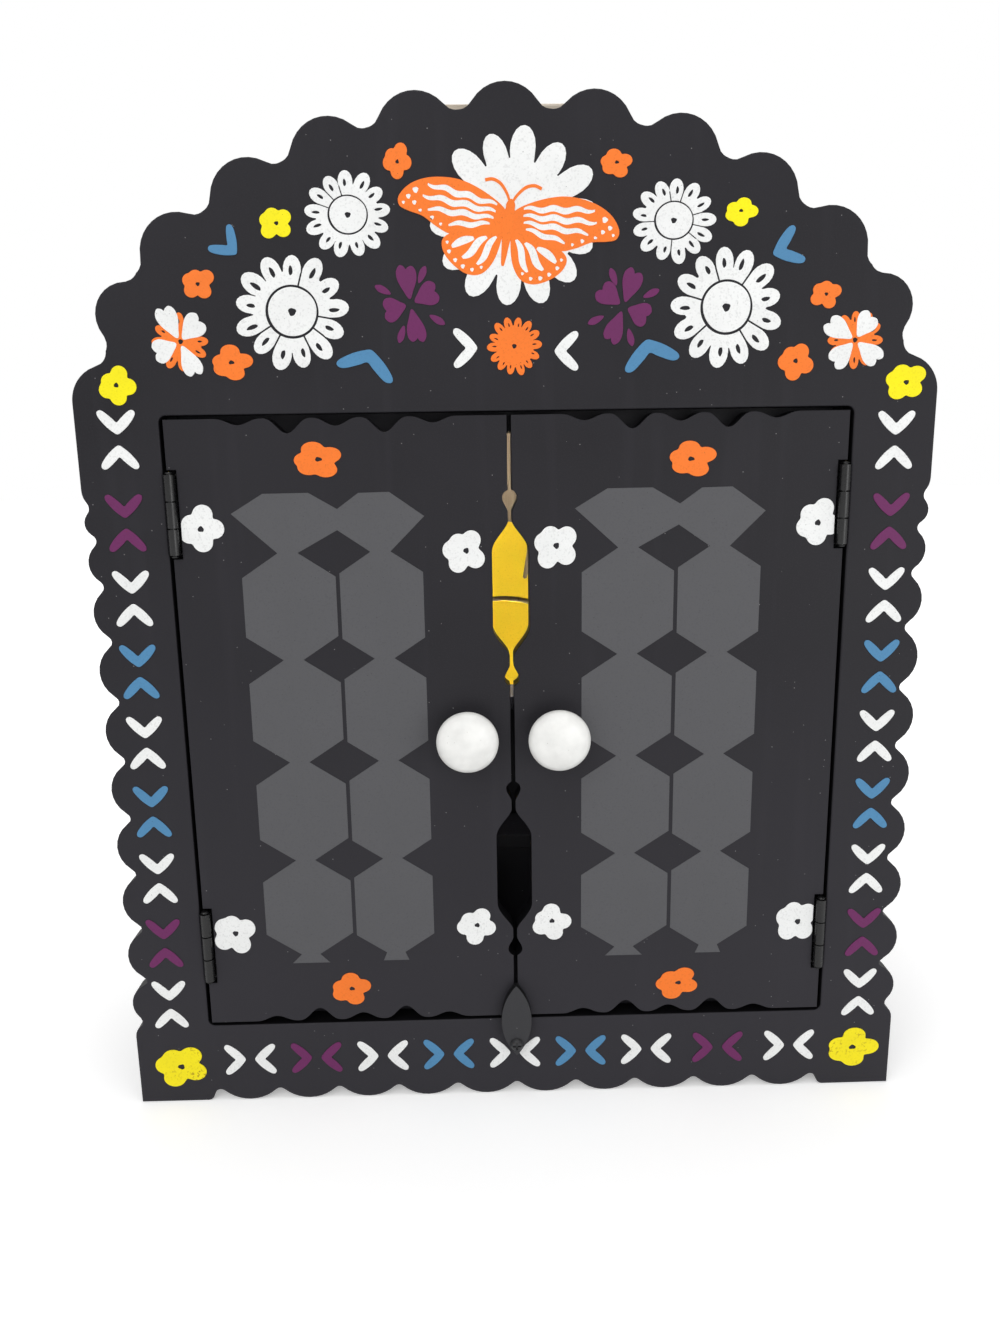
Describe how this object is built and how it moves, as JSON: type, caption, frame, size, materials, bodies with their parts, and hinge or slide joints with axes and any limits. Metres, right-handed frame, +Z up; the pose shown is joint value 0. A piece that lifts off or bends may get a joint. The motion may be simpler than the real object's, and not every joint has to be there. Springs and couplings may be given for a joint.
{
  "type": "altar cabinet",
  "caption": "Black wooden ofrenda altar cabinet with a scalloped arched front, a pair of hinged doors with white knobs, a turn-button latch and inner steps.",
  "frame": {"origin": "on the floor, in the middle of the width and midway between the knob fronts and the back", "axes": "+X to the viewer's right, +Y away from the viewer to the back panel, +Z up"},
  "size_m": [0.3002, 0.1052, 0.3704],
  "materials": {
    "black_paint": "wood board under satin black paint",
    "bare_wood": "unpainted pale wood board",
    "black_metal": "black enamelled steel",
    "white_glaze": "turned wood under smooth white paint",
    "steel": "plain zinc-plated steel"
  },
  "bodies": {
    "altar": {"back_panel": "bare_wood", "bottom_board": "black_paint", "bottom_board_nail_1": "steel", "crest_brace": "bare_wood", "face_frame": "black_paint", "latch_screw": "black_metal", "left_lower_hinge_frame_leaf": "black_metal", "left_lower_hinge_frame_screw_1": "black_metal", "left_lower_hinge_frame_screw_2": "black_metal", "left_lower_hinge_pin": "black_metal", "left_side": "black_paint", "left_side_nail_1": "steel", "left_side_nail_2": "steel", "left_side_nail_3": "steel", "left_upper_hinge_frame_leaf": "black_metal", "left_upper_hinge_frame_screw_1": "black_metal", "left_upper_hinge_frame_screw_2": "black_metal", "left_upper_hinge_pin": "black_metal", "right_lower_hinge_frame_leaf": "black_metal", "right_lower_hinge_frame_screw_1": "black_metal", "right_lower_hinge_frame_screw_2": "black_metal", "right_lower_hinge_pin": "black_metal", "right_side": "black_paint", "right_side_nail_1": "steel", "right_side_nail_2": "steel", "right_side_nail_3": "steel", "right_upper_hinge_frame_leaf": "black_metal", "right_upper_hinge_frame_screw_1": "black_metal", "right_upper_hinge_frame_screw_2": "black_metal", "right_upper_hinge_pin": "black_metal", "tier_1_riser": "black_paint", "tier_1_tread": "black_paint", "tier_2_riser": "black_paint", "tier_2_tread": "black_paint", "top_rail": "black_paint"},
    "left_door": {"left_door": "black_paint", "left_knob": "white_glaze", "left_knob_screw": "steel", "left_lower_hinge_door_leaf": "black_metal", "left_lower_hinge_door_screw_1": "black_metal", "left_lower_hinge_door_screw_2": "black_metal", "left_upper_hinge_door_leaf": "black_metal", "left_upper_hinge_door_screw_1": "black_metal", "left_upper_hinge_door_screw_2": "black_metal"},
    "right_door": {"right_door": "black_paint", "right_knob": "white_glaze", "right_knob_screw": "steel", "right_lower_hinge_door_leaf": "black_metal", "right_lower_hinge_door_screw_1": "black_metal", "right_lower_hinge_door_screw_2": "black_metal", "right_upper_hinge_door_leaf": "black_metal", "right_upper_hinge_door_screw_1": "black_metal", "right_upper_hinge_door_screw_2": "black_metal"},
    "latch": {"latch": "black_paint"}
  },
  "joints": [
    {"name": "left_door_hinge", "type": "hinge", "parent": "altar", "child": "left_door", "pos_m": [-0.1187, -0.0382, 0.1495], "axis": [0, 0, -1], "range_deg": [0, 180]},
    {"name": "right_door_hinge", "type": "hinge", "parent": "altar", "child": "right_door", "pos_m": [0.1187, -0.0382, 0.1495], "axis": [0, 0, 1], "range_deg": [0, 180]},
    {"name": "latch_turn", "type": "hinge", "parent": "altar", "child": "latch", "pos_m": [0, -0.0396, 0.024], "axis": [0, -1, 0], "range_deg": [-120, 120]}
  ]
}
